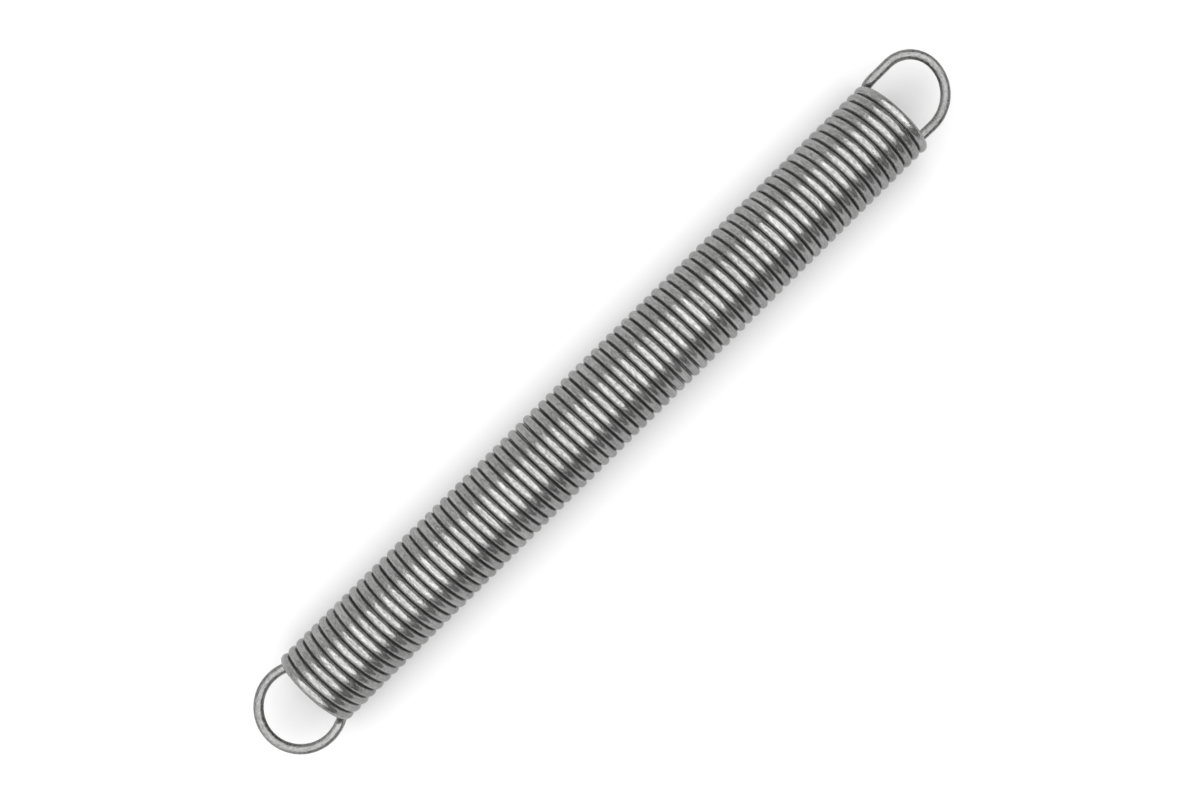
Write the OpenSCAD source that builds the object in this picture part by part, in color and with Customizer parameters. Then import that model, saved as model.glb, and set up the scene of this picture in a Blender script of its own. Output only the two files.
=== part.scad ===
// Extension spring: close-wound round wire with a full loop at each end.
// The spring lies on its side along X, with its lowest coils on Z = 0 and both loops level.
// The winding is right-handed. It is one length of wire from cut end to cut end.

/* [Wire] */
// Diameter of the drawn wire
wire_d = 2; // [1:0.1:2.4]
// Inside radius of the sharp bend where the wire leaves the body for a loop
bend_inside_r = 0.6; // [0.3:0.1:1.5]

/* [Body] */
// Outside diameter of the coils
body_d = 18; // [14:0.5:24]
// Strands that cross the top of the body, side by side
coils = 77; // [5:1:90]
// How much further along the body each coil starts than one wire's width
coil_gap = 0.06; // [0.04:0.01:0.4]

/* [Left loop] */
// How far the leg leans outward as it leaves the body, in degrees
left_flare = 15; // [0:1:20]
// Straight stretch of the leg after the sharp bend
left_leg = 0.2; // [0.2:0.1:6]
// How much the loop sprang open on the bend's side, beyond the radius of a coil
left_bend_side = 0.2; // [-2:0.1:2]
// How much the loop sprang open on the cut end's side, beyond the radius of a coil
left_cut_side = 0.2; // [-2:0.1:2]
// Straight stretch that ends at the cut
left_tail = 0.4; // [0.2:0.1:6]

/* [Right loop] */
// How far the leg leans outward as it leaves the body, in degrees
right_flare = 0; // [0:1:20]
// Straight stretch of the leg after the sharp bend
right_leg = 4.3; // [0.2:0.1:6]
// How much the loop sprang open on the bend's side, beyond the radius of a coil
right_bend_side = -1.8; // [-2:0.1:2]
// How much the loop sprang open on the cut end's side, beyond the radius of a coil
right_cut_side = 0.5; // [-2:0.1:2]
// Straight stretch that ends at the cut
right_tail = 3; // [0.2:0.1:6]

/* [Cut ends] */
// Space between the face of each cut end and the side of the last coil
cut_gap = 0.3; // [0.2:0.1:3]

/* [Hidden] */

wire_r = wire_d / 2;
coil_r = body_d / 2 - wire_r;
pitch = wire_d + coil_gap;
// Each half turn is a flat half ring that leans this far off square, so that its two ends
// lie half a pitch apart. Ends of neighbours meet square to Z, on the level of the axis.
lean = asin(pitch / (4 * coil_r));
// Middle of the last half turn under each end of the body
end_x = coils * pitch / 2;
// The wire leaves the last half turn this many degrees early and bends outward, which
// brings the leg of the loop level with the axis.
bend_r = wire_r + bend_inside_r;
early = atan(bend_r / coil_r);
corner_y = coil_r / cos(early);

// The stretches of a loop stop this far short of where they meet, and a collar that is a hair
// wider than the wire closes each joint.
seam = 0.05;
collar_l = 0.16;
collar_r = wire_r + 0.01;

section_fn = 48;
ring_fn = 96;

function unit(v) = v / norm(v);

// Columns are three axes, then the place they start from.
function frame(x, y, z, at) = [
    [x[0], y[0], z[0], at[0]],
    [x[1], y[1], z[1], at[1]],
    [x[2], y[2], z[2], at[2]],
    [0, 0, 0, 1]
];

// Round wire along an arc about Z, from the X axis towards +Y
module ring(r, angle) {
    rotate_extrude(angle = angle, $fn = ring_fn)
        translate([r, 0])
            circle(r = wire_r, $fn = section_fn);
}

// The same, short of both ends by the seam
module seamed_ring(r, angle) {
    trim = seam / r * 180 / PI;
    rotate([0, 0, trim])
        ring(r, angle - 2 * trim);
}

// Closes a joint in wire that runs along X
module collar() {
    rotate([0, 90, 0])
        cylinder(r = collar_r, h = collar_l, center = true, $fn = section_fn);
}

// A straight stretch along +X. What follows it starts at its end.
module straight(length) {
    rotate([0, 90, 0])
        translate([0, 0, seam])
            cylinder(r = wire_r, h = length - 2 * seam, $fn = section_fn);
    translate([length, 0, 0]) {
        collar();
        children();
    }
}

// The last straight stretch, cut off square
module cropped(length) {
    rotate([0, 90, 0])
        translate([0, 0, seam])
            cylinder(r = wire_r, h = length - seam, $fn = section_fn);
}

// A level arc that starts along +X and turns clockwise. What follows it starts at its end.
module clockwise(r, angle) {
    translate([0, -r, 0]) {
        rotate([0, 0, 90 - angle])
            seamed_ring(r, angle);
        rotate([0, 0, -angle])
            translate([0, r, 0]) {
                collar();
                children();
            }
    }
}

// A bend at the origin from one heading to another, which starts and ends `reach` away
module bend(from, to, reach) {
    between = acos(from * to);
    inward = unit(to - from * cos(between));
    r = reach / tan(between / 2);
    multmatrix(frame(-inward, from, cross(-inward, from), r * inward - reach * from)) {
        seamed_ring(r, between);
        translate([r, 0, 0])
            rotate([0, 0, 90])
                collar();
        rotate([0, 0, between])
            translate([r, 0, 0])
                rotate([0, 0, 90])
                    collar();
    }
}

// Half a turn over the axis from +Y to -Y, which may stop some degrees short
module half_turn(short = 0) {
    rotate([90, 0, 90])
        ring(coil_r, 180 - short);
}

module body_coils() {
    for (k = [0 : 2 * coils - 2]) {
        translate([(k - coils + 1) * pitch / 2, 0, 0])
            if (k % 2 == 0)
                rotate([0, 0, lean])
                    half_turn();
            else
                rotate([180, 0, -lean])
                    half_turn();
    }
}

// The last half turn under the right end of the body, its sharp bend and its loop
module looped_end(flare, leg, bend_side, cut_side, tail) {
    bend_side_r = coil_r + bend_side;
    cut_side_r = coil_r + cut_side;
    // Distances along X from the corner of the sharp bend: to the centre of the arc on the
    // cut end's side, and to the nearest that the cut end's rim comes to the body
    middle_x = (bend_r + leg) * cos(flare) + bend_side_r * (1 + sin(flare)) - cut_side_r;
    rim_x = wire_r + cut_gap - (coil_r + corner_y) * sin(lean);
    // That arc goes on past the half circle until the tail brings the rim to rim_x.
    rim_swing = norm([cut_side_r + wire_r, tail]);
    closing = asin((middle_x - rim_x) / rim_swing) - atan(tail / (cut_side_r + wire_r));
    translate([end_x, 0, 0])
        rotate([0, 0, -lean]) {
            rotate([180, 0, 0])
                half_turn(early + seam / coil_r * 180 / PI);
            translate([0, corner_y, 0]) {
                bend([0, sin(early), cos(early)], [cos(flare + lean), sin(flare + lean), 0], bend_r);
                rotate([0, 0, flare + lean])
                    translate([bend_r, 0, 0])
                        straight(leg)
                            clockwise(bend_side_r, 90 + flare)
                                clockwise(cut_side_r, 90 + closing)
                                    cropped(tail);
            }
        }
}

module spring_wire() {
    color([0.62, 0.62, 0.61])
        translate([0, 0, body_d / 2])
            union() {
                body_coils();
                looped_end(right_flare, right_leg, right_bend_side, right_cut_side, right_tail);
                rotate([0, 0, 180])
                    looped_end(left_flare, left_leg, left_bend_side, left_cut_side, left_tail);
            }
}

spring_wire();
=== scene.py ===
"""Extension spring of drawn steel wire, lying on its side on a pale floor."""

import math

import bmesh
import bpy
from mathutils import Matrix, Vector, noise


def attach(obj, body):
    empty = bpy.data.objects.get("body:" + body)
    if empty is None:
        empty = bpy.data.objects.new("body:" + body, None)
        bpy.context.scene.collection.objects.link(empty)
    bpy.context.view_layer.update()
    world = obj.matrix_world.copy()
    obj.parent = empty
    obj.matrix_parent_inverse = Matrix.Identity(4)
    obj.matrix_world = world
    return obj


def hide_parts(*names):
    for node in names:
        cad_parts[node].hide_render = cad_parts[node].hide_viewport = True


MM = 0.001

# Wire and body
WIRE_R = 1.0 * MM
COIL_R = 8.0 * MM
PITCH = 2.06 * MM
COILS = 77
BODY_R = COIL_R + WIRE_R

# Sharp bend where the wire leaves the body for a loop, and the angle by which the wire leaves
# its last turn short of the level of the axis
BEND_R = 1.6 * MM
EARLY = math.atan(BEND_R / COIL_R)

# Each loop: lean of the leg in degrees, straight leg, radius of the arc on the bend's side,
# radius of the arc on the cut end's side, straight tail
LEFT_LOOP = (15, 0.2 * MM, 8.2 * MM, 8.2 * MM, 0.4 * MM)
RIGHT_LOOP = (0, 4.3 * MM, 6.2 * MM, 8.5 * MM, 3.0 * MM)
CUT_GAP = 0.3 * MM

# Facets of the mesh: round the wire, round a coil or a loop, and round a sharp bend
SIDES = 20
STEPS_A_TURN = 58
STEP = math.tau / STEPS_A_TURN
BEND_STEP = math.radians(9)
STRAIGHT_STEP = 1 * MM

# Sheared ends: rounding of the rim, then the rough break inside a burnished band
RIM_ROUND = 0.12 * MM
RIM_SEGMENTS = 3
BREAK_INSET = 0.3 * MM
BREAK_DEPTH = 0.1 * MM

# How far a coil strays from its neighbours, inward and along the body, and how quickly each
# changes from one turn to the next
STRAY_IN = 0.035 * MM
STRAY_ALONG = 0.02 * MM
STRAY_IN_RATE = 1.7
STRAY_ALONG_RATE = 1.3

# The loops are rougher and darker in colour than the body, and fully so from this far past its end
LOOP_MASK_FADE = 2 * MM

BODY_LENGTH = COILS * PITCH

# Edges that turn more sharply than this are creases
CREASE = math.radians(40)

UP = Vector((0, 0, 1))
HALF_TURN = Matrix.Rotation(math.pi, 3, "Z")


# ---------- shaping the wire ----------

def deselect_objects():
    bpy.ops.object.select_all(action="DESELECT")


def select_rim(piece, place):
    """Selects the open rim of the wire at a place, in edit mode."""
    bpy.ops.mesh.select_all(action="DESELECT")
    mesh = bmesh.from_edit_mesh(piece.data)
    for edge in mesh.edges:
        middle = (edge.verts[0].co + edge.verts[1].co) / 2
        if edge.is_boundary and (middle - place).length < 1.2 * WIRE_R:
            edge.select_set(True)
    bmesh.update_edit_mesh(piece.data)


class WireEnd:
    """The open end of the wire on a bending machine: its place and its heading."""

    def __init__(self, piece, place, heading):
        self.piece = piece
        self.place = place
        self.heading = heading

    def feed(self, length):
        """Lets out a straight stretch."""
        steps = max(1, round(length / STRAIGHT_STEP))
        for _ in range(steps):
            select_rim(self.piece, self.place)
            move = self.heading * (length / steps)
            bpy.ops.mesh.extrude_edges_move(TRANSFORM_OT_translate={"value": move})
            self.place = self.place + move

    def bend(self, towards, radius, angle, step):
        """Bends the wire about a centre that lies on one side of it."""
        select_rim(self.piece, self.place)
        centre = self.place + towards * radius
        axis = self.heading.cross(towards)
        steps = max(2, round(angle / step))
        bpy.ops.mesh.spin(steps=steps, angle=-angle, center=centre, axis=axis)
        swing = Matrix.Rotation(angle, 3, axis)
        self.place = centre + swing @ (self.place - centre)
        self.heading = swing @ self.heading

    def bend_clockwise(self, radius, angle):
        self.bend(self.heading.cross(UP), radius, angle, STEP)

    def bend_towards(self, heading, radius):
        """A sharp bend onto a new heading."""
        between = self.heading.angle(heading)
        towards = (heading - self.heading * math.cos(between)).normalized()
        self.bend(towards, radius, between, BEND_STEP)

    def crop(self):
        """Closes the end with a sheared face."""
        select_rim(self.piece, self.place)
        bpy.ops.mesh.edge_face_add()
        bpy.ops.mesh.bevel(offset=RIM_ROUND, segments=RIM_SEGMENTS, affect="EDGES")
        select_cap(self.piece, self.place)
        bpy.ops.mesh.inset(thickness=BREAK_INSET, depth=0)
        select_cap(self.piece, self.place)
        bpy.ops.mesh.inset(thickness=BREAK_DEPTH, depth=BREAK_DEPTH)


def select_cap(piece, place):
    """Selects the face that closes the wire at a place, in edit mode."""
    bpy.ops.mesh.select_all(action="DESELECT")
    mesh = bmesh.from_edit_mesh(piece.data)
    for face in mesh.faces:
        if len(face.verts) == SIDES and (face.calc_center_median() - place).length < WIRE_R:
            face.select_set(True)
    bmesh.update_edit_mesh(piece.data)


def helix_point(angle):
    """Middle of the wire in the body, by the angle from +Y over the top."""
    first = -(COILS - 1) * PITCH / 2 - PITCH / 4
    along = first + PITCH * angle / math.tau
    return Vector((along, COIL_R * math.cos(angle), COIL_R * math.sin(angle)))


def wind_body():
    """One section of wire, screwed along X into all the turns of the body."""
    start = -(math.pi - EARLY)
    end = (2 * COILS - 1) * math.pi + math.pi - EARLY
    turned = end - start
    deselect_objects()
    bpy.ops.mesh.primitive_circle_add(
        vertices=SIDES, radius=WIRE_R, location=helix_point(start), rotation=(start, 0, 0))
    wire = bpy.context.object
    wire.name = "wire"
    bpy.ops.object.transform_apply(location=True, rotation=True, scale=True)
    screw = wire.modifiers.new("screw", "SCREW")
    screw.axis = "X"
    screw.angle = turned
    screw.screw_offset = PITCH * turned / math.tau
    screw.steps = round(turned / STEP)
    screw.render_steps = screw.steps
    bpy.ops.object.modifier_apply(modifier="screw")
    return wire, end


def form_loop(wire, body_end, sizes, turn):
    """Bends the loop at one end of the body. The left loop is made half a turn about Z away."""
    flare, leg, bend_side_r, cut_side_r, tail = sizes
    flare = math.radians(flare)
    place = helix_point(body_end)
    heading = Vector((0, -math.sin(body_end), math.cos(body_end)))
    corner = place + heading * BEND_R
    # From the corner of the sharp bend: to the centre of the last arc, and to the nearest
    # that the rim of the cut comes to the body
    middle_x = (BEND_R + leg) * math.cos(flare) + bend_side_r * (1 + math.sin(flare)) - cut_side_r
    last_strand_x = helix_point((2 * COILS - 1) * math.pi).x
    rim_x = last_strand_x + WIRE_R + CUT_GAP - corner.x
    swing_r = math.hypot(cut_side_r + WIRE_R, tail)
    closing = math.asin((middle_x - rim_x) / swing_r) - math.atan(tail / (cut_side_r + WIRE_R))

    end = WireEnd(wire, turn @ place, turn @ heading)
    end.bend_towards(turn @ Vector((math.cos(flare), math.sin(flare), 0)), BEND_R)
    end.feed(leg)
    end.bend_clockwise(bend_side_r, math.pi / 2 + flare)
    end.bend_clockwise(cut_side_r, math.pi / 2 + closing)
    end.feed(tail)
    end.crop()


def make_wire():
    wire, body_end = wind_body()
    bpy.ops.object.mode_set(mode="EDIT")
    bpy.ops.mesh.select_mode(type="EDGE")
    form_loop(wire, body_end, RIGHT_LOOP, Matrix.Identity(3))
    form_loop(wire, body_end, LEFT_LOOP, HALF_TURN)
    bpy.ops.mesh.select_all(action="SELECT")
    bpy.ops.mesh.normals_make_consistent(inside=False)
    bpy.ops.transform.translate(value=(0, 0, BODY_R))
    bpy.ops.object.mode_set(mode="OBJECT")
    return wire


# ---------- following the wire from end to end ----------

def neighbours(mesh):
    """For each point, the points that an edge joins to it."""
    joined = [[] for _ in mesh.vertices]
    for edge in mesh.edges:
        a, b = edge.vertices
        joined[a].append(b)
        joined[b].append(a)
    return joined


def left_cap(mesh):
    """Points round the face that closes the left end of the wire, in order."""
    caps = [face for face in mesh.polygons if len(face.vertices) == SIDES]
    return list(min(caps, key=lambda face: face.center.x).vertices)


def rings_of(mesh):
    """Every ring of points round the wire, from its left end to its right end. The points of
    each ring are in the same order, so that a line through them runs straight along the wire."""
    joined = neighbours(mesh)
    ring = left_cap(mesh)
    rings = [ring]
    passed = set(ring)
    while True:
        ahead = [[n for n in joined[point] if n not in passed] for point in ring]
        if not all(ahead):
            return rings
        ring = [points[0] for points in ahead]
        passed.update(ring)
        rings.append(ring)


def ring_centre(mesh, ring):
    total = Vector()
    for point in ring:
        total += mesh.vertices[point].co
    return total / len(ring)


def stray(mesh, rings):
    """Moves the turns a hair out of line, each turn in its own way, as wound wire lies."""
    axis = Vector((0, 0, BODY_R))
    seed_in = Vector((0, 3.1, 0))
    seed_along = Vector((0, 9.4, 5))
    for count, ring in enumerate(rings):
        centre = ring_centre(mesh, ring)
        out = centre - axis
        out.x = 0
        if abs(centre.x) > BODY_LENGTH / 2 or out.length < COIL_R / 2:
            continue
        turns = count / STEPS_A_TURN
        inward = (1 - noise.noise(Vector((turns * STRAY_IN_RATE, 0, 0)) + seed_in)) * STRAY_IN
        along = noise.noise(Vector((turns * STRAY_ALONG_RATE, 0, 0)) + seed_along) * STRAY_ALONG
        move = Vector((along, 0, 0)) - out.normalized() * inward
        for point in ring:
            mesh.vertices[point].co += move


def mark_wire(mesh, rings):
    """Gives each point its place on the wire as if it were pulled straight along X, which
    draw marks follow, and how far out on a loop it lies, where the steel is made rougher and
    darker."""
    mesh.attributes.new("straightened", "FLOAT_VECTOR", "POINT")
    mesh.attributes.new("loop_mask", "FLOAT", "POINT")
    straightened = mesh.attributes["straightened"]
    loop_mask = mesh.attributes["loop_mask"]
    along = 0
    before = ring_centre(mesh, rings[0])
    for ring in rings:
        centre = ring_centre(mesh, ring)
        along += (centre - before).length
        before = centre
        past_body = (abs(centre.x) - BODY_LENGTH / 2) / LOOP_MASK_FADE
        for count, point in enumerate(ring):
            radius = (mesh.vertices[point].co - centre).length
            angle = math.tau * count / SIDES
            place = (along, radius * math.cos(angle), radius * math.sin(angle))
            straightened.data[point].vector = place
            loop_mask.data[point].value = min(1, max(0, past_body))


# ---------- drawn steel ----------

# Marks to a metre, along the wire and across it
FINE_MARKS = (300, 9000)
BROAD_MARKS = (60, 2200)
FILM = (1500, 2300)
RIPPLE = (1100, 1700)
HEAT = (45, 120)
PITS = (2400, 3600)

DARK_STEEL = (0.15, 0.15, 0.148, 1)
LIGHT_STEEL = (0.365, 0.365, 0.361, 1)
PIT_SHADE = (0.12, 0.12, 0.12, 1)
# The loops' colour is multiplied by this grey, so they come out darker than the body
LOOP_DARKENING = (0.72, 0.72, 0.72, 1)
RELIEF_DEPTH = 0.1 * MM


def node(tree, kind, **settings):
    made = tree.nodes.new(kind)
    for name, value in settings.items():
        setattr(made, name, value)
    return made


def stretched(tree, source, scale):
    """The straightened wire's coordinates, scaled apart for marks along and across it."""
    mapping = node(tree, "ShaderNodeMapping")
    mapping.inputs["Scale"].default_value = scale
    tree.links.new(source, mapping.inputs["Vector"])
    return mapping.outputs["Vector"]


def noise_field(tree, vector, detail, roughness):
    field = node(tree, "ShaderNodeTexNoise")
    field.inputs["Scale"].default_value = 1
    field.inputs["Detail"].default_value = detail
    field.inputs["Roughness"].default_value = roughness
    tree.links.new(vector, field.inputs["Vector"])
    return field.outputs["Fac"]


def levels(tree, value, low, high, to_low=0, to_high=1):
    """Stretches a value from one range to another, and stops at both ends."""
    ranged = node(tree, "ShaderNodeMapRange")
    ranged.inputs["From Min"].default_value = low
    ranged.inputs["From Max"].default_value = high
    ranged.inputs["To Min"].default_value = to_low
    ranged.inputs["To Max"].default_value = to_high
    tree.links.new(value, ranged.inputs["Value"])
    return ranged.outputs["Result"]


def combine(tree, operation, first, second):
    """A sum, product or the like of two fields, or of a field and a number."""
    made = node(tree, "ShaderNodeMath", operation=operation)
    for socket, value in zip(made.inputs, (first, second)):
        if isinstance(value, (int, float)):
            socket.default_value = value
        else:
            tree.links.new(value, socket)
    return made.outputs["Value"]


def mix(tree, blend, factor, first, second):
    """Lays one colour over a field of colour, as far as the factor says."""
    mixed = node(tree, "ShaderNodeMix", data_type="RGBA", blend_type=blend)
    mixed.inputs["B"].default_value = second
    tree.links.new(factor, mixed.inputs["Factor"])
    tree.links.new(first, mixed.inputs["A"])
    return mixed.outputs["Result"]


def wire_field(tree, wire_place, marks_a_metre, detail, roughness):
    """Noise that follows the wire."""
    along, across = marks_a_metre
    place = stretched(tree, wire_place, (along, across, across))
    return noise_field(tree, place, detail, roughness)


def steel_colour(tree, marks, film, heat, pits, loop_mask):
    """Grey that varies with the marks, the film and the heat of drawing. Pits are dark, and
    the loops' colour is darkened against the body's."""
    shade = combine(tree, "ADD", marks, combine(tree, "MULTIPLY", film, 0.5))
    shade = combine(tree, "ADD", shade, combine(tree, "MULTIPLY", heat, 0.25))
    ramp = node(tree, "ShaderNodeValToRGB")
    dark, light = ramp.color_ramp.elements
    dark.position = 0.48
    dark.color = DARK_STEEL
    light.position = 0.72
    light.color = LIGHT_STEEL
    tree.links.new(shade, ramp.inputs["Fac"])
    pitted = mix(tree, "MIX", pits, ramp.outputs["Color"], PIT_SHADE)
    # Darkens the colour on the loops, as far as the loop mask reaches
    return mix(tree, "MULTIPLY", loop_mask, pitted, LOOP_DARKENING)


def steel_relief(tree, marks, film, ripple, pits):
    """Draw marks, an uneven skin and pits, all far finer than the mesh."""
    height = combine(tree, "ADD", combine(tree, "MULTIPLY", marks, 0.3), ripple)
    height = combine(tree, "ADD", height, combine(tree, "MULTIPLY", film, 0.3))
    height = combine(tree, "SUBTRACT", height, combine(tree, "MULTIPLY", pits, 0.3))
    bump = node(tree, "ShaderNodeBump")
    bump.inputs["Strength"].default_value = 0.8
    bump.inputs["Distance"].default_value = RELIEF_DEPTH
    tree.links.new(height, bump.inputs["Height"])
    return bump.outputs["Normal"]


def drawn_steel():
    """Satin drawn wire: fine marks along it, a mottled film and small pits."""
    material = bpy.data.materials.new("drawn steel")
    material.use_nodes = True
    tree = material.node_tree
    shader = tree.nodes["Principled BSDF"]
    wire_place = node(tree, "ShaderNodeAttribute", attribute_name="straightened").outputs["Vector"]
    loop_mask = node(tree, "ShaderNodeAttribute", attribute_name="loop_mask").outputs["Fac"]

    fine_marks = wire_field(tree, wire_place, FINE_MARKS, 3, 0.6)
    broad_marks = wire_field(tree, wire_place, BROAD_MARKS, 2, 0.5)
    film = wire_field(tree, wire_place, FILM, 5, 0.65)
    ripple = wire_field(tree, wire_place, RIPPLE, 3, 0.6)
    heat = wire_field(tree, wire_place, HEAT, 2, 0.5)
    pits = levels(tree, wire_field(tree, wire_place, PITS, 3, 0.5), 0.69, 0.78)
    marks = combine(
        tree, "ADD",
        combine(tree, "MULTIPLY", broad_marks, 0.18),
        combine(tree, "MULTIPLY", fine_marks, 0.25))
    colour = steel_colour(tree, marks, film, heat, pits, loop_mask)
    satin = levels(tree, film, 0.3, 0.7, to_low=0.14, to_high=0.26)
    dulled = combine(tree, "ADD", satin, combine(tree, "MULTIPLY", loop_mask, 0.1))

    shader.inputs["Metallic"].default_value = 0.84
    shader.inputs["Specular Tint"].default_value = (0.75, 0.75, 0.75, 1)
    tree.links.new(colour, shader.inputs["Base Color"])
    tree.links.new(dulled, shader.inputs["Roughness"])
    tree.links.new(steel_relief(tree, marks, film, ripple, pits), shader.inputs["Normal"])
    return material


# ---------- stage ----------

FLOOR_SIZE = 8


def pale_floor():
    material = bpy.data.materials.new("pale floor")
    material.use_nodes = True
    shader = material.node_tree.nodes["Principled BSDF"]
    shader.inputs["Base Color"].default_value = (0.6, 0.6, 0.6, 1)
    shader.inputs["Roughness"].default_value = 0.9
    return material


def lay_floor():
    deselect_objects()
    bpy.ops.mesh.primitive_plane_add(size=FLOOR_SIZE, location=(0, 0, 0))
    floor = bpy.context.object
    floor.name = "floor"
    floor.data.materials.append(pale_floor())


def softbox(name, azimuth, overhead, distance, width, height, radiance, shape="RECTANGLE"):
    """A soft lamp that faces the spring. Its middle lies some degrees round from +X and some
    degrees off overhead. Lengths are in metres."""
    azimuth = math.radians(azimuth)
    overhead = math.radians(overhead)
    level = math.sin(overhead)
    away = Vector((level * math.cos(azimuth), level * math.sin(azimuth), math.cos(overhead)))
    lamp = bpy.data.lights.new(name, "AREA")
    lamp.shape = shape
    lamp.size = width
    lamp.size_y = height
    area = width * height * (math.pi / 4 if shape == "ELLIPSE" else 1)
    lamp.energy = radiance * math.pi * area
    holder = bpy.data.objects.new(name, lamp)
    holder.location = away * distance
    holder.rotation_euler = away.to_track_quat("Z", "Y").to_euler()
    bpy.context.scene.collection.objects.link(holder)


def light_scene():
    """Each softbox: degrees round from +X, degrees off overhead, distance, width, height,
    radiance."""
    softbox("overhead", 90, 0, 0.60, 1.70, 1.32, 2.6, "ELLIPSE")
    softbox("far strip", 90, 34, 0.55, 0.50, 0.14, 1.3, "ELLIPSE")
    softbox("near strip", -90, 29, 0.55, 0.50, 0.13, 1.3, "ELLIPSE")
    softbox("far fill", 90, 68, 0.90, 1.80, 0.65, 0.8)
    softbox("near fill", -90, 54, 0.80, 1.60, 0.20, 0.2)
    softbox("left fill", 180, 66, 0.90, 1.40, 0.65, 1.1)
    world = bpy.data.worlds.new("studio")
    world.use_nodes = True
    background = world.node_tree.nodes["Background"]
    background.inputs["Color"].default_value = (0.14, 0.14, 0.14, 1)
    background.inputs["Strength"].default_value = 1
    bpy.context.scene.world = world


# Seen from straight above, the spring runs up from lower left to upper right at this angle.
SLOPE = math.radians(44.64)
CAMERA_HEIGHT = 360 * MM
LENS = 54.15
SENSOR_WIDTH = 36
# How far the camera looks to the right of the middle of the spring, and above it in the view
AIM = (-0.75 * MM, 0.56 * MM)


def place_camera():
    camera = bpy.data.cameras.new("camera")
    camera.lens = LENS
    camera.sensor_width = SENSOR_WIDTH
    holder = bpy.data.objects.new("camera", camera)
    aim = Matrix.Rotation(-SLOPE, 3, "Z") @ Vector((*AIM, 0))
    holder.location = (aim.x, aim.y, CAMERA_HEIGHT)
    holder.rotation_euler = (0, 0, -SLOPE)
    bpy.context.scene.collection.objects.link(holder)
    bpy.context.scene.camera = holder


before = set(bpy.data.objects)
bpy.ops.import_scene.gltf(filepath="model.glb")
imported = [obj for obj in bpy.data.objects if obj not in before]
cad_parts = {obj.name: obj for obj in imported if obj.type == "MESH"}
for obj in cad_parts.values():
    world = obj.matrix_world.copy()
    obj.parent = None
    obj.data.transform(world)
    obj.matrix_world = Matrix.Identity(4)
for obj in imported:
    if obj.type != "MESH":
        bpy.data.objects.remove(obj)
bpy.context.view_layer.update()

wire = make_wire()
rings = rings_of(wire.data)
stray(wire.data, rings)
mark_wire(wire.data, rings)
wire.data.materials.append(drawn_steel())
deselect_objects()
wire.select_set(True)
bpy.context.view_layer.objects.active = wire
bpy.ops.object.shade_smooth_by_angle(angle=CREASE)
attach(wire, "root")
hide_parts("spring_wire")

lay_floor()
light_scene()
place_camera()
bpy.context.scene.view_settings.view_transform = "Standard"
